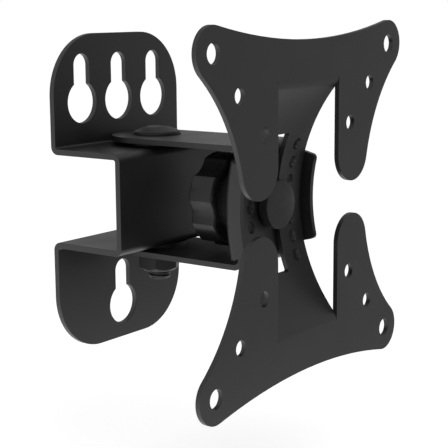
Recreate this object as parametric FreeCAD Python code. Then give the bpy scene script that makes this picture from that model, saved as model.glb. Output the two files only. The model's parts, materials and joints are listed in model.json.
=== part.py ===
import FreeCAD, Part
import math
import os

# Tilting and swivelling wall mount for a small screen, in millimetres.
# +X is to the right when facing the wall, +Y runs into the wall and +Z is up.
# The origin is the hanging point: the round top of the middle keyhole, on the wall.
# Heights below are measured from the swivel joint's middle, and the export lifts the origin.

# Wall bracket: one sheet folded to a hat section, hung on screws by its keyholes
bracket_sheet = 2.0
bracket_width = 65.0
bracket_height = 108.6
flange_corner_radius = 20.5
hat_depth = 30.0
hat_height = 33.5
hat_fold_radius = 0.75

# Keyholes: a round hole that passes a screw's head, under a narrow slot for its shank
keyhole_head_radius = 7.1
keyhole_slot_radius = 3.85
keyhole_drop = 12.4
keyhole_pitch = 18.7
upper_slot_height = 43.8
lower_slot_depth = 29.7

# Swivel joint: an upright bolt through the bracket's shelves and the arm's straps
pivot_distance = 19.0
pivot_radius = 3.95
pivot_clearance = 0.05
friction_washer_thickness = 1.4
friction_washer_radius = 10.0
plain_washer_thickness = 0.8
plain_washer_radius = 8.1
pivot_head_radius = 7.8
pivot_head_height = 1.9
pivot_head_rim = 0.3
pivot_head_flat = 3.2
round_bands = 2
pivot_thread_end = 3.0
thread_chamfer = 0.6
nut_flats = 13.0
nut_height = 5.9
nut_collar_height = 0.8
nut_collar_radius = 6.0
nut_collar_chamfer = 0.5
lock_ring_height = 1.6
lock_ring_radius = 5.0

# Arm: one sheet pressed to a U, whose curved web has a lip along each side
arm_sheet = 1.8
strap_width = 31.2
arm_reach = 45.0
arm_fold_radius = 2.0
lip_clearance = 1.9
lip_height = 4.9
lip_angle = 14.8
lip_fold_radius = 1.0
lip_corner_radius = 1.5

# Tilt slide: the plate's curved strip runs between the arm's web and the tilt bolt's head
tilt_radius = 58.0
tilt_gap = 0.3
strip_width = 34.8
strip_depth = 14.9
strip_fold_radius = 4.5
strip_slot_width = 8.4
strip_slot_half_length = 22.7
strip_slot_corner = 0.6
dimple_angle = 6.2
dimples_each_way = 3
dimple_offset = 11.1
dimple_radius = 2.0
dimple_depth = 0.4

# Tilt bolt, its washer and the clamping knob behind the arm's web
tilt_head_radius = 8.0
tilt_head_height = 4.4
tilt_head_crown = 1.0
tilt_head_flat = 2.0
neck_width = 8.0
neck_clearance = 0.05
tilt_shank_radius = 3.9
shank_clearance = 0.08
tilt_washer_radius = 9.0
tilt_washer_thickness = 1.6
knob_play = 0.05
knob_radius = 15.7
knob_thickness = 9.8
knob_lobes = 6
knob_scallop_depth = 1.5
knob_scallop_radius = 8.2
knob_turn = 40.5
knob_edge_chamfer = 0.7
knob_dish_radius = 10.0
knob_dish_floor_radius = 8.5
knob_dish_depth = 1.0
hub_radius = 12.0
hub_tip_radius = 14.8
hub_length = 6.65
insert_flats = 13.0
insert_height = 6.5
thread_reach = 5.5
bore_spare = 1.0

# Screen plate: one sheet with four arms, four legs and the curved strip pressed out behind
plate_sheet = 1.6
corner_pattern = 100.0
middle_pattern = 75.0
inner_pattern = 50.0
corner_hole_radius = 3.1
small_hole_radius = 2.5
corner_lobe_radius = 8.0
waist_height = 105.6
side_radius = 57.0
leg_radius = 9.3
leg_gap = 11.0
strip_side_gap = 0.2

# Places along the mount's depth, from the wall outwards
pivot_y = -pivot_distance
web_front_y = pivot_y - arm_reach
web_back_y = web_front_y + arm_sheet
strip_back_y = web_front_y - tilt_gap
strip_front_y = strip_back_y - plate_sheet
tilt_axis_y = strip_front_y - tilt_radius
plate_front_y = strip_front_y - strip_depth
plate_back_y = plate_front_y + plate_sheet
tilt_head_edge_y = tilt_axis_y + math.sqrt(tilt_radius ** 2 - tilt_head_radius ** 2)
tilt_head_back_y = tilt_head_edge_y - tilt_gap
hub_front_y = web_back_y + tilt_washer_thickness + knob_play
knob_front_y = hub_front_y + hub_length
knob_back_y = knob_front_y + knob_thickness
insert_back_y = hub_front_y + insert_height
tilt_shank_end_y = insert_back_y + thread_reach

# Heights about the swivel joint, the same above and below the middle
shelf_z = hat_height / 2
strap_inner_z = shelf_z + friction_washer_thickness
strap_outer_z = strap_inner_z + arm_sheet
washer_outer_z = strap_outer_z + plain_washer_thickness
nut_end_z = -washer_outer_z - nut_height - nut_collar_height
pivot_end_z = nut_end_z - pivot_thread_end

# Bores round the two bolts
pivot_bore = pivot_radius + pivot_clearance
shank_bore = tilt_shank_radius + shank_clearance

# Radii of the nested tilt surfaces about the tilt axis
strip_back_radius = tilt_radius + plate_sheet
web_front_radius = strip_back_radius + tilt_gap
web_back_radius = web_front_radius + arm_sheet
lip_edge_radius = web_front_radius - lip_height

X_AXIS = FreeCAD.Vector(1, 0, 0)
Y_AXIS = FreeCAD.Vector(0, 1, 0)
Z_AXIS = FreeCAD.Vector(0, 0, 1)
ORIGIN = FreeCAD.Vector(0, 0, 0)
TOUCH = 0.01


def vector(x, y, z):
    return FreeCAD.Vector(x, y, z)


def line(start, end):
    return Part.LineSegment(start, end).toShape()


def arc(start, end, centre):
    """Short arc about a centre, from start to end."""
    middle = (start + end) / 2 - centre
    middle.normalize()
    return Part.Arc(start, centre + middle * (start - centre).Length, end).toShape()


def toward(start, target, distance):
    step = target - start
    step.normalize()
    return start + step * distance


def rounded_face(corners):
    """Face of a closed outline of (point, radius) corners, each rounded by a tangent arc."""
    arcs = []
    for index, (point, radius) in enumerate(corners):
        before = (corners[index - 1][0] - point).normalize()
        after = (corners[(index + 1) % len(corners)][0] - point).normalize()
        half = before.getAngle(after) / 2
        reach = radius / math.tan(half)
        bisector = (before + after).normalize()
        centre = point + bisector * (radius / math.sin(half))
        arcs.append((point + before * reach, point + after * reach, centre))
    edges = []
    for index, (start, end, centre) in enumerate(arcs):
        if (start - end).Length > 1e-6:
            edges.append(arc(start, end, centre))
        edges.append(line(end, arcs[(index + 1) % len(arcs)][0]))
    return Part.Face(Part.Wire(edges))


def across(face, width):
    """Solid of a section in the YZ plane, width across X and centred."""
    face.translate(vector(-width / 2, 0, 0))
    return face.extrude(vector(width, 0, 0))


def upright(radius, bottom, top):
    """Upright cylinder about the swivel axis."""
    return Part.makeCylinder(radius, top - bottom, vector(0, pivot_y, bottom), Z_AXIS)


def along_y(radius, front, back, x=0.0, z=0.0):
    return Part.makeCylinder(radius, back - front, vector(x, front, z), Y_AXIS)


def pivot_ring(outer, bottom, top):
    """Flat ring round the swivel bolt."""
    return upright(outer, bottom, top).cut(upright(pivot_bore, bottom, top))


def hexagon(flats, height, base, axis):
    """Hexagonal prism from base along axis, with two flats facing along X."""
    reference = Y_AXIS if axis.isEqual(Z_AXIS, 1e-6) else Z_AXIS
    corner = reference * (flats / math.sqrt(3))
    turn = FreeCAD.Rotation(axis, 60)
    points = [corner]
    for _ in range(6):
        points.append(turn.multVec(points[-1]))
    outline = Part.makePolygon([base + point for point in points[:6]] + [base + points[0]])
    return Part.Face(outline).extrude(axis * height)


def chamfered(prism, flats, height, base, axis):
    """Nut blank with its corners turned down by a shallow cone at both ends."""
    corner = flats / math.sqrt(3)
    rise = (corner - flats / 2) * math.tan(math.radians(30))
    blank = Part.makeCylinder(corner, height - 2 * rise, base + axis * rise, axis)
    low = Part.makeCone(flats / 2, corner, rise, base, axis)
    high = Part.makeCone(corner, flats / 2, rise, base + axis * (height - rise), axis)
    return prism.common(blank.fuse([low, high]))


def edges_where(shape, test):
    return [edge for edge in shape.Edges if test(edge)]


def wall_bracket():
    back, front = 0.0, -bracket_sheet
    web_back, web_front = -hat_depth + bracket_sheet, -hat_depth
    end_z, outer_z, inner_z = bracket_height / 2, shelf_z, shelf_z - bracket_sheet
    inside, outside = hat_fold_radius, hat_fold_radius + bracket_sheet
    upper = [
        (back, end_z, 0.0),
        (back, inner_z, outside),
        (web_back, inner_z, inside),
    ]
    upper_front = [
        (web_front, outer_z, outside),
        (front, outer_z, inside),
        (front, end_z, 0.0),
    ]
    lower = [(y, -z, radius) for y, z, radius in reversed(upper)]
    lower_front = [(y, -z, radius) for y, z, radius in reversed(upper_front)]
    section = upper + lower + lower_front + upper_front
    face = rounded_face([(vector(0, y, z), radius) for y, z, radius in section])
    body = across(face, bracket_width)

    side, corner = bracket_width / 2, flange_corner_radius
    outline = [(-side, -end_z), (side, -end_z), (side, end_z), (-side, end_z)]
    blank = rounded_face([(vector(x, web_front, z), corner) for x, z in outline])
    body = body.common(blank.extrude(Y_AXIS * hat_depth))

    for x in (-keyhole_pitch, 0.0, keyhole_pitch):
        body = body.cut(keyhole(x, upper_slot_height))
    body = body.cut(keyhole(0.0, -lower_slot_depth))
    return body.cut(upright(pivot_bore, -shelf_z, shelf_z))


def keyhole(x, slot_z):
    """Cutter through the bracket's flange; slot_z is the middle of the slot's round top."""
    front = -bracket_sheet
    head_z = slot_z - keyhole_drop
    head = along_y(keyhole_head_radius, front, 0.0, x, head_z)
    top = along_y(keyhole_slot_radius, front, 0.0, x, slot_z)
    corner = vector(x - keyhole_slot_radius, front, head_z)
    slot = Part.makeBox(2 * keyhole_slot_radius, bracket_sheet, keyhole_drop, corner)
    return head.fuse([top, slot])


def arm_section():
    """Section of the arm in the YZ plane: two straps, two folds and the curved web."""
    axis = vector(0, tilt_axis_y, 0)
    rear = pivot_y + strap_width / 2
    fold_outer = arm_fold_radius + arm_sheet
    fold_z = strap_outer_z - fold_outer
    fold_y = tilt_axis_y + math.sqrt((web_front_radius + fold_outer) ** 2 - fold_z ** 2)
    faces = []
    for z_side, web_radius, fold in (
        (strap_outer_z, web_front_radius, fold_outer),
        (strap_inner_z, web_back_radius, arm_fold_radius),
    ):
        high, low = vector(0, fold_y, fold_z), vector(0, fold_y, -fold_z)
        high_meet, low_meet = toward(axis, high, web_radius), toward(axis, low, web_radius)
        faces.append([
            line(vector(0, rear, z_side), vector(0, fold_y, z_side)),
            arc(vector(0, fold_y, z_side), high_meet, high),
            arc(high_meet, low_meet, axis),
            arc(low_meet, vector(0, fold_y, -z_side), low),
            line(vector(0, fold_y, -z_side), vector(0, rear, -z_side)),
        ])
    ends = [
        line(vector(0, rear, side * strap_inner_z), vector(0, rear, side * strap_outer_z))
        for side in (1, -1)
    ]
    return Part.Face(Part.Wire(Part.__sortEdges__(faces[0] + faces[1] + ends)))


def lipped_web():
    """Curved channel, turned about the tilt axis, whose lips guide the strip's sides."""
    inner = strip_width / 2 + lip_clearance
    outer = inner + arm_sheet
    edge_y, front_y, back_y = (
        tilt_axis_y + radius for radius in (lip_edge_radius, web_front_radius, web_back_radius)
    )
    inside, outside = lip_fold_radius, lip_fold_radius + arm_sheet
    right = [
        (outer, back_y, outside),
        (outer, edge_y, 0.0),
        (inner, edge_y, 0.0),
        (inner, front_y, inside),
    ]
    left = [(-x, y, radius) for x, y, radius in reversed(right)]
    face = rounded_face([(vector(x, y, 0), radius) for x, y, radius in right + left])
    axis = vector(0, tilt_axis_y, 0)
    face.rotate(axis, X_AXIS, -lip_angle)
    channel = face.revolve(axis, X_AXIS, 2 * lip_angle)

    def lip_end(edge):
        middle = edge.CenterOfMass - axis
        straight = abs(edge.tangentAt(edge.FirstParameter).x) > 0.99
        return straight and math.hypot(middle.y, middle.z) < lip_edge_radius + TOUCH

    return channel.makeFillet(lip_corner_radius, edges_where(channel, lip_end))


def arm_bracket():
    """Two straps with round ends joined by the lipped web, in one sheet."""
    half = strap_width / 2
    corner = vector(-half, plate_front_y, -strap_outer_z)
    plan = Part.makeBox(strap_width, pivot_y - plate_front_y, 2 * strap_outer_z, corner)
    plan = plan.fuse(upright(half, -strap_outer_z, strap_outer_z))
    body = across(arm_section(), strap_width).common(plan).fuse(lipped_web())
    body = body.cut(upright(pivot_bore, -strap_outer_z, strap_outer_z))
    return body.cut(neck(neck_width + 2 * neck_clearance, web_back_y)).removeSplitter()


def neck(width, back):
    """Square bar along Y under the tilt bolt's head, back to the given place."""
    corner = vector(-width / 2, tilt_head_back_y, -width / 2)
    return Part.makeBox(width, back - tilt_head_back_y, width, corner)


def plate_half():
    """Upper half of the plate's flat sheet: crossbar, two lobed corners and two legs."""
    lobe_at = corner_pattern / 2
    leg_x = strip_width / 2 + strip_side_gap + leg_radius
    leg_z = leg_gap / 2 + leg_radius
    lobe, leg = vector(lobe_at, 0, lobe_at), vector(leg_x, 0, leg_z)
    rise = waist_height / 2 - lobe_at
    gain = corner_lobe_radius - rise
    top_radius = (lobe_at ** 2 / gain - corner_lobe_radius - rise) / 2
    top = vector(0, 0, waist_height / 2 + top_radius)

    to_leg = leg - lobe
    span = to_leg.Length
    lobe_reach, leg_reach = side_radius + corner_lobe_radius, side_radius + leg_radius
    along = (lobe_reach ** 2 - leg_reach ** 2 + span ** 2) / (2 * span)
    out = math.sqrt(lobe_reach ** 2 - along ** 2)
    to_leg.normalize()
    side = lobe + to_leg * along + vector(-to_leg.z, 0, to_leg.x) * out

    leg_start = vector(leg_x - leg_radius, 0, leg_z)
    leg_end = toward(leg, side, leg_radius)
    lobe_start = toward(lobe, side, corner_lobe_radius)
    lobe_end = toward(lobe, top, corner_lobe_radius)
    window = vector(leg_start.x, 0, strip_end_z())
    waist = vector(0, 0, waist_height / 2)
    edges = []
    for flip in (1, -1):
        points = [window, leg_start, leg_end, lobe_start, lobe_end, leg, side, lobe]
        window_at, leg_from, leg_to, lobe_from, lobe_to, leg_at, side_at, lobe_mid = (
            vector(flip * point.x, 0, point.z) for point in points
        )
        edges += [
            line(vector(0, 0, window.z), window_at),
            line(window_at, leg_from),
            arc(leg_from, leg_to, leg_at),
            arc(leg_to, lobe_from, side_at),
            arc(lobe_from, lobe_to, lobe_mid),
            arc(lobe_to, waist, top),
        ]
    face = Part.Face(Part.Wire(Part.__sortEdges__(edges)))
    face.translate(vector(0, plate_front_y, 0))
    return face.extrude(Y_AXIS * plate_sheet)


def strip_end_z():
    """Height where the strip's end fold starts to leave the flat sheet."""
    reach = tilt_radius + strip_fold_radius
    setback = plate_front_y + strip_fold_radius - tilt_axis_y
    return math.sqrt(reach ** 2 - setback ** 2)


def curved_strip():
    """Strip pressed out behind the plate: an arc about the tilt axis with a fold at each end."""
    axis = vector(0, tilt_axis_y, 0)
    end_z = strip_end_z()
    fold_y = plate_front_y + strip_fold_radius
    high, low = vector(0, fold_y, end_z), vector(0, fold_y, -end_z)
    edges = []
    ends = []
    for y, radius, fold in (
        (plate_front_y, tilt_radius, strip_fold_radius),
        (plate_back_y, strip_back_radius, strip_fold_radius - plate_sheet),
    ):
        start, finish = vector(0, y, end_z), vector(0, y, -end_z)
        high_meet, low_meet = toward(axis, high, radius), toward(axis, low, radius)
        edges += [
            arc(start, high_meet, high),
            arc(high_meet, low_meet, axis),
            arc(low_meet, finish, low),
        ]
        ends.append((start, finish))
    (front_start, front_finish), (back_start, back_finish) = ends
    edges += [line(front_start, back_start), line(front_finish, back_finish)]
    strip = across(Part.Face(Part.Wire(Part.__sortEdges__(edges))), strip_width)

    half, reach = strip_slot_width / 2, strip_slot_half_length
    corners = [(-half, -reach), (half, -reach), (half, reach), (-half, reach)]
    slot = rounded_face([(vector(x, plate_front_y, z), strip_slot_corner) for x, z in corners])
    strip = strip.cut(slot.extrude(Y_AXIS * (strip_back_y - plate_front_y)))

    ball_radius = (dimple_radius ** 2 + dimple_depth ** 2) / (2 * dimple_depth)
    for step in range(-dimples_each_way, dimples_each_way + 1):
        outward = FreeCAD.Rotation(X_AXIS, step * dimple_angle).multVec(Y_AXIS)
        middle = axis + outward * (tilt_radius + dimple_depth - ball_radius)
        for x in (-dimple_offset, dimple_offset):
            strip = strip.cut(Part.makeSphere(ball_radius, middle + X_AXIS * x))
    return strip


def screen_plate():
    upper = plate_half()
    lower = upper.mirror(ORIGIN, Z_AXIS)
    plate = upper.fuse([lower, curved_strip()]).removeSplitter()
    for pattern, radius in (
        (corner_pattern, corner_hole_radius),
        (middle_pattern, small_hole_radius),
        (inner_pattern, small_hole_radius),
    ):
        for x in (-pattern / 2, pattern / 2):
            for z in (-pattern / 2, pattern / 2):
                plate = plate.cut(along_y(radius, plate_front_y, plate_back_y, x, z))
    return plate


def turned(profile, base, axis):
    """Solid of a closed outline of (radius, place along the axis) points, turned about the axis."""
    points = [base + X_AXIS * radius + axis * along for radius, along in profile]
    return Part.Face(Part.makePolygon(points + points[:1])).revolve(base, axis, 360)


def domed(flat, radius, low, high):
    """Outline of a shallow dome in bands, from a flat top to its rim."""
    middle = (flat ** 2 + high ** 2 - radius ** 2 - low ** 2) / (2 * (high - low))
    ball_radius = math.hypot(flat, high - middle)
    points = [(0, high)]
    for band in range(round_bands + 1):
        reach = flat + (radius - flat) * band / round_bands
        points.append((reach, middle + math.sqrt(ball_radius ** 2 - reach ** 2)))
    return points


def shank_end(radius, end, into):
    """Outline of a shank's chamfered end; into is 1 or -1, from the end into the shank."""
    return [(radius, end + into * thread_chamfer), (radius - thread_chamfer, end), (0, end)]


def pivot_bolt():
    """Mushroom-headed bolt: a thin rim, a low dome with a flat top and a plain shank down to the nut."""
    base = washer_outer_z
    profile = domed(pivot_head_flat, pivot_head_radius, base + pivot_head_rim, base + pivot_head_height)
    profile += [(pivot_head_radius, base), (pivot_radius, base)]
    profile += shank_end(pivot_radius, pivot_end_z, 1)
    return turned(profile, vector(0, pivot_y, 0), Z_AXIS)


def pivot_nut():
    """Lock nut: a chamfered hexagon with a rolled collar that holds the lock ring."""
    top = -washer_outer_z
    base = vector(0, pivot_y, top - nut_height)
    blank = hexagon(nut_flats, nut_height, base, Z_AXIS)
    body = chamfered(blank, nut_flats, nut_height, base, Z_AXIS)
    collar = upright(nut_collar_radius, nut_end_z, base.z)
    rim = edges_where(collar, lambda edge: edge.CenterOfMass.z < nut_end_z + TOUCH)
    body = body.fuse(collar.makeChamfer(nut_collar_chamfer, rim))
    body = body.cut(upright(lock_ring_radius, nut_end_z, nut_end_z + lock_ring_height))
    return body.cut(upright(pivot_bore, nut_end_z, top)).removeSplitter()


def tilt_bolt():
    """Round-headed bolt: the head clamps the strip, and its square neck is held by the web."""
    rim = tilt_head_height - tilt_head_crown
    dome = domed(tilt_head_flat, tilt_head_radius, rim, tilt_head_height)
    profile = [(radius, tilt_head_back_y - along) for radius, along in dome]
    profile += [(tilt_head_radius, tilt_head_back_y), (tilt_shank_radius, tilt_head_back_y)]
    profile += shank_end(tilt_shank_radius, tilt_shank_end_y, -1)
    bolt = turned(profile, ORIGIN, Y_AXIS)
    return bolt.fuse(neck(neck_width, web_back_y)).removeSplitter()


def tilt_washer():
    back = web_back_y + tilt_washer_thickness
    return along_y(tilt_washer_radius, web_back_y, back).cut(along_y(shank_bore, web_back_y, back))


def knob():
    """Six-lobed clamping knob with a flared hub and a hexagonal pocket for its insert."""
    grip = along_y(knob_radius, knob_front_y, knob_back_y)
    scallop_at = knob_radius - knob_scallop_depth + knob_scallop_radius
    for index in range(knob_lobes):
        angle = math.radians(knob_turn + (index + 0.5) * 360 / knob_lobes)
        x, z = scallop_at * math.cos(angle), scallop_at * math.sin(angle)
        grip = grip.cut(along_y(knob_scallop_radius, knob_front_y, knob_back_y, x, z))

    def rim(edge):
        middle = edge.CenterOfMass.y
        return min(middle - knob_front_y, knob_back_y - middle) < TOUCH

    grip = grip.makeChamfer(knob_edge_chamfer, edges_where(grip, rim))
    hub = Part.makeCone(hub_tip_radius, hub_radius, hub_length, vector(0, hub_front_y, 0), Y_AXIS)
    body = grip.fuse(hub)

    dish_floor = vector(0, knob_back_y - knob_dish_depth, 0)
    dish = Part.makeCone(knob_dish_floor_radius, knob_dish_radius, knob_dish_depth, dish_floor, Y_AXIS)
    pocket = hexagon(insert_flats, insert_height, vector(0, hub_front_y, 0), Y_AXIS)
    bore = along_y(shank_bore, hub_front_y, tilt_shank_end_y + bore_spare)
    return body.cut(dish).cut(pocket).cut(bore).removeSplitter()


def knob_insert():
    blank = hexagon(insert_flats, insert_height, vector(0, hub_front_y, 0), Y_AXIS)
    return blank.cut(along_y(shank_bore, hub_front_y, insert_back_y))


def main():
    ring_end_z = nut_end_z + lock_ring_height
    nodes = {
        "wall_bracket": wall_bracket(),
        "arm_bracket": arm_bracket(),
        "screen_plate": screen_plate(),
        "pivot_bolt": pivot_bolt(),
        "pivot_nut": pivot_nut(),
        "nut_lock_ring": pivot_ring(lock_ring_radius, nut_end_z, ring_end_z),
        "head_washer": pivot_ring(plain_washer_radius, strap_outer_z, washer_outer_z),
        "nut_washer": pivot_ring(plain_washer_radius, -washer_outer_z, -strap_outer_z),
        "upper_friction_washer": pivot_ring(friction_washer_radius, shelf_z, strap_inner_z),
        "lower_friction_washer": pivot_ring(friction_washer_radius, -strap_inner_z, -shelf_z),
        "tilt_bolt": tilt_bolt(),
        "tilt_washer": tilt_washer(),
        "clamp_knob": knob(),
        "knob_insert": knob_insert(),
    }
    os.makedirs("parts", exist_ok=True)
    for name, shape in nodes.items():
        if not shape.isValid() or len(shape.Solids) != 1:
            raise ValueError(f"{name}: {len(shape.Solids)} solids, valid {shape.isValid()}")
        shape.translate(vector(0, 0, -upper_slot_height))
        shape.Solids[0].exportStep(f"parts/{name}.step")
        box = shape.BoundBox
        print(f"{name}: {shape.Volume:.1f} mm3, X {box.XMin:.2f} {box.XMax:.2f}, "
              f"Y {box.YMin:.2f} {box.YMax:.2f}, Z {box.ZMin:.2f} {box.ZMax:.2f}")


main()
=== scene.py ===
import json
import math

import bmesh
import bpy
from mathutils import Matrix, Quaternion, Vector


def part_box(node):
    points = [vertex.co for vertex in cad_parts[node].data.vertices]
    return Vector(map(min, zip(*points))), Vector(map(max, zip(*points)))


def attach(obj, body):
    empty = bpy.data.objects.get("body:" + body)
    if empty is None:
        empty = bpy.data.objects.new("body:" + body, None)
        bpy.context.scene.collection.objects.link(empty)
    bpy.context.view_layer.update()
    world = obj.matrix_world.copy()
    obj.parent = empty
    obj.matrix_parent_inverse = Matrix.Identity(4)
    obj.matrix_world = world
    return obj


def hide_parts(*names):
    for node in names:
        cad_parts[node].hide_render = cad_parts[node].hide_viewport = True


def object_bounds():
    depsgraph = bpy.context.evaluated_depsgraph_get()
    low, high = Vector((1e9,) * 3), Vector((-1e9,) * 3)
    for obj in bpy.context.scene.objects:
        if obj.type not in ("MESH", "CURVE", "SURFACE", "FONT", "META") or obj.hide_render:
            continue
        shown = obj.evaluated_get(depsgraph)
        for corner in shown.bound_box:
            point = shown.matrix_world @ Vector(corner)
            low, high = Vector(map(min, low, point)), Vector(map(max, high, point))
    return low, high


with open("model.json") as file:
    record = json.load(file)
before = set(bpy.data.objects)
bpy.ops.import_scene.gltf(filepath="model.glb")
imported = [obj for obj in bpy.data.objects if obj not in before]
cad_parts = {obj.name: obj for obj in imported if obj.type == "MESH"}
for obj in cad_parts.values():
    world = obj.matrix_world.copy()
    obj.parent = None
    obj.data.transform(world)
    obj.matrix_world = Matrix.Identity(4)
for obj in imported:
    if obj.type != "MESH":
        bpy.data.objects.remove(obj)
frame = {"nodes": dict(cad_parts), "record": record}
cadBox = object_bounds()
mm = 0.001
scene = bpy.context.scene
print("frame loaded:", len(frame["nodes"]), "nodes")


def linear(hexColour):  # sRGB hex to the linear values that shaders take
    channels = [int(hexColour[i:i + 2], 16) / 255 for i in (1, 3, 5)]
    return [c / 12.92 if c <= 0.04045 else ((c + 0.055) / 1.055) ** 2.4 for c in channels] + [1.0]


def addNode(tree, kind, inputs=None, links=None, **settings):
    node = tree.nodes.new(kind)
    for name, value in settings.items():
        setattr(node, name, value)
    for name, value in (inputs or {}).items():
        node.inputs[name].default_value = value
    for name, source in (links or {}).items():
        tree.links.new(source, node.inputs[name])
    return node


def startMaterial(name):
    material = bpy.data.materials.new(name)
    material.use_nodes = True
    material.node_tree.nodes.clear()
    return material, material.node_tree


# in each finish, drift is the size in mm of its patches of colour and gloss, and each bump gives
# its spacing in mm, the noise's detail and its depth in mm

# polyester powder baked on steel: an even satin black with a soft orange peel, a little glossier
# in patches
powderLook = {
    "name": "powderCoatBlack", "dark": "#191919", "light": "#1f1f1f",
    "smooth": 0.40, "rough": 0.48, "ior": 1.5, "drift": 14.0, "driftDetail": 3.0,
    "bumps": [(1.1, 1.0, 0.012),     # the soft peel of the baked coat
              (0.35, 2.0, 0.0025)],  # grit, drawn coarser than the real powder so that it shows
}
# sealed black zinc on steel fasteners: a thin even matt black that softens the marks beneath
zincLook = {
    "name": "blackZincSteel", "dark": "#181818", "light": "#1e1e1e",
    "smooth": 0.46, "rough": 0.58, "ior": 1.5, "drift": 3.0, "driftDetail": 4.0,
    "bumps": [(0.35, 2.0, 0.003)],   # turning marks, drawn coarser than real so that they show
}
# glass-filled nylon moulded in a spark-eroded tool: near black, with a soft sheen and a fine grain
mouldedLook = {
    "name": "glassFilledNylon", "dark": "#1f1f1f", "light": "#252525",
    "smooth": 0.23, "rough": 0.31, "ior": 1.36, "drift": 5.0, "driftDetail": 2.0,
    "bumps": [(0.45, 2.0, 0.003)],   # the tool's grain, drawn coarser than real so that it shows
}
# plain turned nylon: dark grey and waxy
nylonLook = {
    "name": "turnedNylon", "dark": "#1c1c1c", "light": "#232323",
    "smooth": 0.45, "rough": 0.55, "ior": 1.53, "drift": 4.0, "driftDetail": 2.0,
    "bumps": [(0.5, 2.0, 0.003)],    # tool marks, drawn coarser than real so that they show
}
noiseLow, noiseHigh = 0.3, 0.7       # nearly all of a noise texture's values lie between these
mixDark, mixLight, mixResult = 6, 7, 2  # the colour sockets of a Mix node


def makeFinish(look):
    material, tree = startMaterial(look["name"])
    place = addNode(tree, "ShaderNodeTexCoord").outputs["Object"]
    drift = addNode(tree, "ShaderNodeTexNoise",
                    {"Scale": 1 / (look["drift"] * mm), "Detail": look["driftDetail"]},
                    {"Vector": place}).outputs["Fac"]
    colour = addNode(tree, "ShaderNodeMix",
                     {mixDark: linear(look["dark"]), mixLight: linear(look["light"])},
                     {"Factor": drift}, data_type="RGBA")
    gloss = addNode(tree, "ShaderNodeMapRange",
                    {"From Min": noiseLow, "From Max": noiseHigh,
                     "To Min": look["smooth"], "To Max": look["rough"]}, {"Value": drift})
    normal = {}  # each bump lies on the one before it
    for spacing, detail, depth in look["bumps"]:
        marks = addNode(tree, "ShaderNodeTexNoise",
                        {"Scale": 1 / (spacing * mm), "Detail": detail}, {"Vector": place})
        bump = addNode(tree, "ShaderNodeBump", {"Strength": 1.0, "Distance": depth * mm},
                       {"Height": marks.outputs["Fac"], **normal})
        normal = {"Normal": bump.outputs["Normal"]}
    shader = addNode(tree, "ShaderNodeBsdfPrincipled", {"IOR": look["ior"]},
                     {"Base Color": colour.outputs[mixResult],
                      "Roughness": gloss.outputs["Result"], **normal})
    addNode(tree, "ShaderNodeOutputMaterial", links={"Surface": shader.outputs["BSDF"]})
    return material


finishes = {
    "powder_coated_steel": makeFinish(powderLook),
    "blackened_steel": makeFinish(zincLook),
    "moulded_plastic": makeFinish(mouldedLook),
    "nylon": makeFinish(nylonLook),
}
slotOf = {part["node"]: part["material_slot"] for part in frame["record"]["subparts"]}
bodies = frame["record"]["behaviour"]["bodies"]
bodyOf = {node: body for body, members in bodies.items() for node in members}
print("materials made:", ", ".join(material.name for material in finishes.values()))


def addPiece(pieceName, form, nodeName):
    mesh = bpy.data.meshes.new(pieceName)
    form.to_mesh(mesh)
    form.free()
    piece = bpy.data.objects.new(pieceName, mesh)
    scene.collection.objects.link(piece)
    mesh.materials.append(finishes[slotOf[nodeName]])
    normals = piece.modifiers.new("evenNormals", "WEIGHTED_NORMAL")
    normals.keep_sharp = True
    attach(piece, bodyOf[nodeName])
    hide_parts(nodeName)
    print("piece", pieceName, len(mesh.polygons), "faces")


def easeEdges(form, work, size):  # rounds every edge past the sharp angle and smooths the shading
    limit = math.radians(work["sharpAngle"])
    sharp = [edge for edge in form.edges
             if edge.is_manifold and edge.calc_face_angle() > limit]
    bmesh.ops.bevel(form, geom=sharp, offset=size * mm, segments=work["segments"], profile=0.5,
                    affect="EDGES", material=-1, clamp_overlap=True)
    for face in form.faces:
        face.smooth = True


# the plate's curved strip, cut finer and set back on its two true radii about the tilt axis so that
# its shading runs smooth, and the two rows of pits punched into it, where the clamp bites; sizes
# in mm, angles in degrees
curvedStrip = {
    "tiltAxis": (0.0, -123.9, -43.8), "radii": (58.0, 59.6), "halfWidth": 17.45,
    "near": 0.12,        # how far off its radius a vertex may lie
    "cutAngle": 3.1, "cuts": 13, "snap": 0.03, "flatAngle": 2.3,
    "pitOffset": 11.1, "pitAngle": 6.2, "pitsEachWay": 3, "pitRadius": 2.1,
    "pitDepths": (0.005, 0.9),  # the shallow pit of the solid lies between these
    "pitWalls": [(0.84, 0.55), (0.9, 0.4), (0.55, 0.15)],  # each ring: share of the last, step down
}


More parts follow.
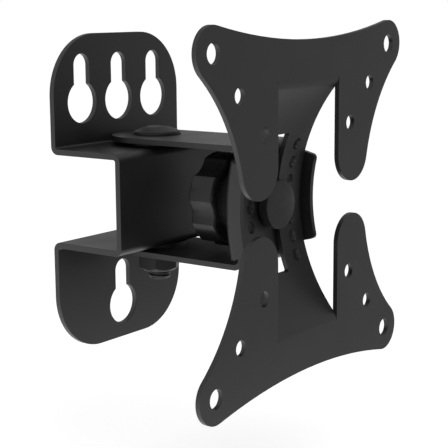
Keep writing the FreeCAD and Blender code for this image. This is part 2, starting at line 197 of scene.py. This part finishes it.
def deepenPits(form, sizes):
    axis = Vector(sizes["tiltAxis"]) * mm
    least, most = (depth * mm for depth in sizes["pitDepths"])
    for step in range(-sizes["pitsEachWay"], sizes["pitsEachWay"] + 1):
        turn = math.radians(step * sizes["pitAngle"])
        out = Vector((0, math.cos(turn), math.sin(turn)))
        for x in (-sizes["pitOffset"], sizes["pitOffset"]):
            middle = axis + (out * sizes["radii"][0] + Vector((x, 0, 0))) * mm
            inside = []
            for face in form.faces:
                reach = face.calc_center_median() - middle
                depth = reach.dot(out)
                near = (reach - out * depth).length < sizes["pitRadius"] * mm
                if near and least < depth < most:
                    inside.append(face)
            bmesh.ops.delete(form, geom=inside, context="FACES")
            rim = [edge for edge in form.edges if edge.is_boundary]
            for share, down in sizes["pitWalls"]:
                made = bmesh.ops.extrude_edge_only(form, edges=rim)["geom"]
                verts = [item for item in made if isinstance(item, bmesh.types.BMVert)]
                rim = [item for item in made
                       if isinstance(item, bmesh.types.BMEdge) and item.is_boundary]
                bmesh.ops.scale(form, verts=verts, vec=(share, share, share),
                                space=Matrix.Translation(-middle))
                bmesh.ops.translate(form, verts=verts, vec=out * down * mm)
                middle = middle + out * down * mm
            bmesh.ops.edgeloop_fill(form, edges=rim)
    bmesh.ops.recalc_face_normals(form, faces=form.faces)


def smoothStrip(form, sizes):
    axis = Vector(sizes["tiltAxis"]) * mm

    def stripRadius(vert):  # the radius of the strip's face that a vertex lies on, or None
        reach = math.hypot(vert.co.y - axis.y, vert.co.z - axis.z) / mm
        if abs(vert.co.x) > sizes["halfWidth"] * mm:
            return None
        return next((radius for radius in sizes["radii"] if abs(reach - radius) < sizes["near"]),
                    None)

    for cut in range(-sizes["cuts"], sizes["cuts"] + 1):
        turn = math.radians(cut * sizes["cutAngle"])
        faces = [face for face in form.faces if all(stripRadius(vert) for vert in face.verts)]
        edges = {edge for face in faces for edge in face.edges}
        verts = {vert for face in faces for vert in face.verts}
        bmesh.ops.bisect_plane(form, geom=faces + list(edges) + list(verts),
                               dist=sizes["snap"] * mm, plane_co=axis,
                               plane_no=(0, -math.sin(turn), math.cos(turn)))
    for vert in form.verts:
        radius = stripRadius(vert)
        if radius:
            reach = Vector((0, vert.co.y - axis.y, vert.co.z - axis.z))
            vert.co += reach.normalized() * radius * mm - reach
    verts = [vert for vert in form.verts if stripRadius(vert)]
    edges = [edge for edge in form.edges if all(stripRadius(vert) for vert in edge.verts)]
    bmesh.ops.dissolve_limit(form, angle_limit=math.radians(sizes["flatAngle"]),
                             use_dissolve_boundaries=False, verts=verts, edges=edges)


# the most that the coat or tumbling rounds each cut edge, in mm; the bevel's clamp takes less where
# a mesh is fine
edgeRounds = {
    "wall_bracket": ("wallBracket", 0.14), "arm_bracket": ("armBracket", 0.14),
    "screen_plate": ("screenPlate", 0.12), "pivot_nut": ("pivotNut", 0.1),
    "head_washer": ("headWasher", 0.1), "nut_washer": ("nutWasher", 0.1),
    "tilt_washer": ("tiltWasher", 0.12), "clamp_knob": ("clampKnob", 0.2),
}
edgeWork = {"sharpAngle": 28.0, "segments": 2, "mergeDistance": 0.002, "flatAngle": 0.4,
            "foldAngles": (1.0, 50.0)}  # degrees between faces inside the arm's tight folds


def roundEdges(nodeName, size, work):
    form = bmesh.new()
    form.from_mesh(frame["nodes"][nodeName].data)
    bmesh.ops.remove_doubles(form, verts=form.verts, dist=work["mergeDistance"] * mm)
    if nodeName == "arm_bracket":  # thin triangles in the lips' folds are turned to lie along them
        least, most = (math.radians(angle) for angle in work["foldAngles"])
        folds = [edge for edge in form.edges
                 if edge.is_manifold and least < edge.calc_face_angle() < most]
        bmesh.ops.beautify_fill(form, faces=form.faces, edges=folds, method="ANGLE")
    bmesh.ops.dissolve_limit(form, angle_limit=math.radians(work["flatAngle"]),
                             use_dissolve_boundaries=False, verts=form.verts, edges=form.edges)
    if nodeName == "screen_plate":
        deepenPits(form, curvedStrip)
        smoothStrip(form, curvedStrip)
        bmesh.ops.remove_doubles(form, verts=form.verts, dist=curvedStrip["snap"] * mm)
    easeEdges(form, work, size)
    return form


for nodeName, (pieceName, size) in edgeRounds.items():
    addPiece(pieceName, roundEdges(nodeName, size, edgeWork), nodeName)

# how both bolts are turned: degrees, mm and steps
turnWork = {"sharpAngle": 24.0, "segments": 3, "mergeDistance": 0.001, "steps": 72, "domeSteps": 8}


def domeProfile(sizes, steps):  # flat top, then a ball's curve to the rim: (radius, height) in mm
    flat, radius = sizes["flatRadius"], sizes["headRadius"]
    low, high = sizes["rim"], sizes["headHeight"]
    middle = (flat ** 2 + high ** 2 - radius ** 2 - low ** 2) / (2 * (high - low))
    ball = math.hypot(flat, high - middle)
    reaches = [flat + (radius - flat) * i / steps for i in range(steps + 1)]
    return [(0.0, high)] + [(reach, middle + math.sqrt(ball ** 2 - reach ** 2))
                            for reach in reaches]


def turnBolt(sizes, shank, base, axis, work):  # the head and shank spun about the bolt's axis
    profile = domeProfile(sizes, work["domeSteps"]) + [(sizes["headRadius"], 0.0)] + shank
    form = bmesh.new()
    verts = [form.verts.new(base + (Vector((1, 0, 0)) * radius + axis * along) * mm)
             for radius, along in profile]
    edges = [form.edges.new(pair) for pair in zip(verts, verts[1:])]
    bmesh.ops.spin(form, geom=verts + edges, cent=base, axis=axis, dvec=(0, 0, 0), angle=math.tau,
                   steps=work["steps"], use_merge=True, use_normal_flip=False, use_duplicate=False)
    bmesh.ops.remove_doubles(form, verts=form.verts, dist=work["mergeDistance"] * mm)
    bmesh.ops.recalc_face_normals(form, faces=form.faces)
    easeEdges(form, work, sizes["easing"])
    return form


# swivel bolt: a low mushroom head, a plain shank and a rolled M8 thread that shows below the nut;
# sizes in mm
swivelBolt = {
    "headRadius": 7.8, "headHeight": 1.9, "rim": 0.3, "flatRadius": 3.2, "easing": 0.12,
    "shank": 3.95, "root": 3.55, "tip": 0.6, "pitch": 1.25, "threadTurns": 3, "threadSteps": 48,
    "ridgeSink": 0.1,                    # how far the thread's ridge runs into the bolt's core
    "ridgeFoot": 0.5, "ridgeCrest": 0.1,  # half widths of the ridge, as shares of the pitch
}


def makeSwivelBolt(sizes):
    low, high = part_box("pivot_bolt")
    up = Vector((0, 0, 1))
    base = Vector(((low.x + high.x) / 2, (low.y + high.y) / 2, high.z)) \
        - up * sizes["headHeight"] * mm
    end = (low.z - base.z) / mm
    shank, root, tip = sizes["shank"], sizes["root"], sizes["tip"]
    threadTop = end + tip + sizes["pitch"] * sizes["threadTurns"]
    form = turnBolt(sizes, [(shank, 0.0), (shank, threadTop), (root, threadTop),
                            (root, end + tip / 2), (root - tip / 2, end), (0.0, end)],
                    base, up, turnWork)
    # one ridge of the thread, wound down to the tip
    foot = root - sizes["ridgeSink"]
    ridge = [(foot, sizes["ridgeFoot"]), (shank, sizes["ridgeCrest"]),
             (shank, -sizes["ridgeCrest"]), (foot, -sizes["ridgeFoot"])]
    verts = [form.verts.new(base + Vector((radius, 0, threadTop + along * sizes["pitch"])) * mm)
             for radius, along in ridge]
    bmesh.ops.spin(form, geom=[form.faces.new(verts)], cent=base, axis=up,
                   dvec=-up * (sizes["pitch"] / sizes["threadSteps"]) * mm,
                   angle=math.tau * sizes["threadTurns"],
                   steps=sizes["threadSteps"] * sizes["threadTurns"],
                   use_merge=False, use_normal_flip=False, use_duplicate=False)
    bmesh.ops.recalc_face_normals(form, faces=form.faces)
    addPiece("pivotBolt", form, "pivot_bolt")


makeSwivelBolt(swivelBolt)

# tilt bolt: a thick round head with a shallow crown, the square neck that the web holds, and its
# shank; sizes in mm
tiltBolt = {
    "headRadius": 8.0, "headHeight": 4.4, "rim": 3.4, "flatRadius": 2.0, "easing": 0.25,
    "shank": 3.9, "tip": 0.6, "neck": 8.0, "neckDepth": 6.5,
}


def makeTiltBolt(sizes):
    low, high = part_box("tilt_bolt")
    out = Vector((0, -1, 0))
    base = Vector(((low.x + high.x) / 2, low.y, (low.z + high.z) / 2)) \
        - out * sizes["headHeight"] * mm
    end = (base.y - high.y) / mm
    shank, tip, neck = sizes["shank"], sizes["tip"], sizes["neck"]
    form = turnBolt(sizes, [(shank, 0.0), (shank, end + tip), (shank - tip, end), (0.0, end)],
                    base, out, turnWork)
    cube = bmesh.ops.create_cube(form, size=1.0)["verts"]
    bmesh.ops.scale(form, verts=cube, vec=Vector((neck, sizes["neckDepth"], neck)) * mm)
    bmesh.ops.translate(form, verts=cube, vec=base - out * sizes["neckDepth"] / 2 * mm)
    addPiece("tiltBolt", form, "tilt_bolt")


makeTiltBolt(tiltBolt)
for nodeName, node in frame["nodes"].items():  # nylon rings and the insert stay as solids
    node.data.materials.clear()
    node.data.materials.append(finishes[slotOf[nodeName]])
print("pieces made, finishes on all", len(frame["nodes"]), "nodes")

brightSide = (-0.5, 0.86, 0.0)  # the white sweep and backdrop lie to the left behind the mount


def addSideRamp(tree, place, start, full):  # rises softly from 0 to 1 towards the bright side
    side = addNode(tree, "ShaderNodeVectorMath", {1: brightSide}, {0: place},
                   operation="DOT_PRODUCT")
    ramp = addNode(tree, "ShaderNodeMapRange", {"From Min": start, "From Max": full},
                   {"Value": side.outputs["Value"]}, interpolation_type="SMOOTHSTEP")
    return ramp.outputs["Result"]


def addRayShares(tree, shine):  # 1 where the camera looks, and the shine where a reflection does
    ray = addNode(tree, "ShaderNodeLightPath").outputs
    direct = addNode(tree, "ShaderNodeMath",
                     links={0: ray["Is Camera Ray"], 1: ray["Is Transmission Ray"]},
                     operation="MAXIMUM")
    mirrored = addNode(tree, "ShaderNodeMath", links={0: ray["Is Glossy Ray"], 1: shine},
                       operation="MULTIPLY")
    return direct.outputs[0], mirrored.outputs[0]


# the white sweep under the mount, which fades with distance; the room in front of it stays dim
stageLook = {
    "floorDrop": 40.0,                          # mm below the mount
    "floorRadius": 20.0, "floorSides": 64,      # metres, and sides of its outline
    "floorTone": "#e9e9e9", "seenGlow": 0.59, "shineGlow": 1.0,
    "sweepStart": -0.21, "sweepFull": -0.02,    # metres towards the bright side
    "fadeFrom": 0.2, "fadeTo": 0.6, "fadeRest": 0.55,  # metres, and the share of shine left
}


def makeFloor(look):
    form = bmesh.new()
    bmesh.ops.create_circle(form, cap_ends=True, segments=look["floorSides"],
                            radius=look["floorRadius"])
    bmesh.ops.translate(form, verts=form.verts,
                        vec=(0, 0, cadBox[0].z - look["floorDrop"] * mm))
    mesh = bpy.data.meshes.new("studioFloor")
    form.to_mesh(mesh)
    form.free()
    floor = bpy.data.objects.new("studioFloor", mesh)
    scene.collection.objects.link(floor)
    # matt white paper: even and pale, it only takes the soft shadow
    material, tree = startMaterial("paperSweep")
    paper = addNode(tree, "ShaderNodeBsdfDiffuse", {"Color": linear(look["floorTone"])})
    place = addNode(tree, "ShaderNodeTexCoord").outputs["Object"]
    sweep = addSideRamp(tree, place, look["sweepStart"], look["sweepFull"])
    reach = addNode(tree, "ShaderNodeVectorMath", links={0: place}, operation="LENGTH")
    fade = addNode(tree, "ShaderNodeMapRange",
                   {"From Min": look["fadeFrom"], "From Max": look["fadeTo"],
                    "To Min": look["shineGlow"], "To Max": look["shineGlow"] * look["fadeRest"]},
                   {"Value": reach.outputs["Value"]})
    shine = addNode(tree, "ShaderNodeMath", links={0: sweep, 1: fade.outputs["Result"]},
                    operation="MULTIPLY")
    direct, mirrored = addRayShares(tree, shine.outputs[0])
    strength = addNode(tree, "ShaderNodeMath", {1: look["seenGlow"]}, {0: direct, 2: mirrored},
                       operation="MULTIPLY_ADD")
    glow = addNode(tree, "ShaderNodeEmission", links={"Strength": strength.outputs[0]})
    seen = addNode(tree, "ShaderNodeAddShader", links={0: paper.outputs[0], 1: glow.outputs[0]})
    addNode(tree, "ShaderNodeOutputMaterial", links={"Surface": seen.outputs[0]})
    mesh.materials.append(material)


makeFloor(stageLook)

# a dim room, with a white backdrop on the bright side that the camera and reflections see
worldLook = {"tone": "#ffffff", "fill": 0.53, "seen": 1.0,
             "backdropStart": 0.3, "backdropFull": 1.0}


def makeWorld(look):
    world = bpy.data.worlds.new("studioWorld")
    world.use_nodes = True
    tree = world.node_tree
    tree.nodes.clear()
    place = addNode(tree, "ShaderNodeTexCoord").outputs["Generated"]
    backdrop = addSideRamp(tree, place, look["backdropStart"], look["backdropFull"])
    direct, mirrored = addRayShares(tree, backdrop)
    share = addNode(tree, "ShaderNodeMath", links={0: direct, 1: mirrored}, operation="MAXIMUM")
    tone = linear(look["tone"])
    fill = addNode(tree, "ShaderNodeBackground", {"Color": tone, "Strength": look["fill"]})
    white = addNode(tree, "ShaderNodeBackground", {"Color": tone, "Strength": look["seen"]})
    both = addNode(tree, "ShaderNodeMixShader",
                   links={0: share.outputs[0], 1: fill.outputs[0], 2: white.outputs[0]})
    addNode(tree, "ShaderNodeOutputWorld", links={"Surface": both.outputs[0]})
    scene.world = world


makeWorld(worldLook)

# one soft box in front, to the left and above, aimed at the middle of the mount; metres and watts
topBox = {"place": (-0.3, -0.5, 0.8), "size": 0.6, "power": 1.5}


def addLamp(name, look):
    data = bpy.data.lights.new(name, "AREA")
    data.shape = "SQUARE"
    data.size = look["size"]
    data.energy = look["power"]
    lamp = bpy.data.objects.new(name, data)
    scene.collection.objects.link(lamp)
    lamp.location = (cadBox[0] + cadBox[1]) / 2 + Vector(look["place"])
    lamp.rotation_mode = "QUATERNION"
    lamp.rotation_quaternion = (-Vector(look["place"])).to_track_quat("-Z", "Y")


addLamp("topBox", topBox)

# the photograph's view, solved from the plate's hole patterns; mm, degrees and pixels
viewpoint = {
    "place": (-323.985, -285.485, 19.166), "azimuth": -53.668, "elevation": 10.104, "roll": -0.387,
    "focalPixels": 1222.135, "framePixels": 448, "sensor": 36.0,
    "clip": (0.01, 100.0),  # metres
}


def addCamera(look):
    data = bpy.data.cameras.new("photoCamera")
    data.sensor_width = look["sensor"]
    data.lens = look["focalPixels"] / look["framePixels"] * look["sensor"]
    data.clip_start, data.clip_end = look["clip"]
    camera = bpy.data.objects.new("photoCamera", data)
    scene.collection.objects.link(camera)
    turn, rise = math.radians(look["azimuth"]), math.radians(look["elevation"])
    back = Vector((math.sin(turn) * math.cos(rise), -math.cos(turn) * math.cos(rise),
                   math.sin(rise)))
    camera.location = Vector(look["place"]) * mm
    camera.rotation_mode = "QUATERNION"
    camera.rotation_quaternion = (-back).to_track_quat("-Z", "Y") \
        @ Quaternion((0, 0, 1), math.radians(look["roll"]))
    scene.camera = camera


addCamera(viewpoint)
scene.view_settings.view_transform = "Standard"
print("stage, light and camera set")
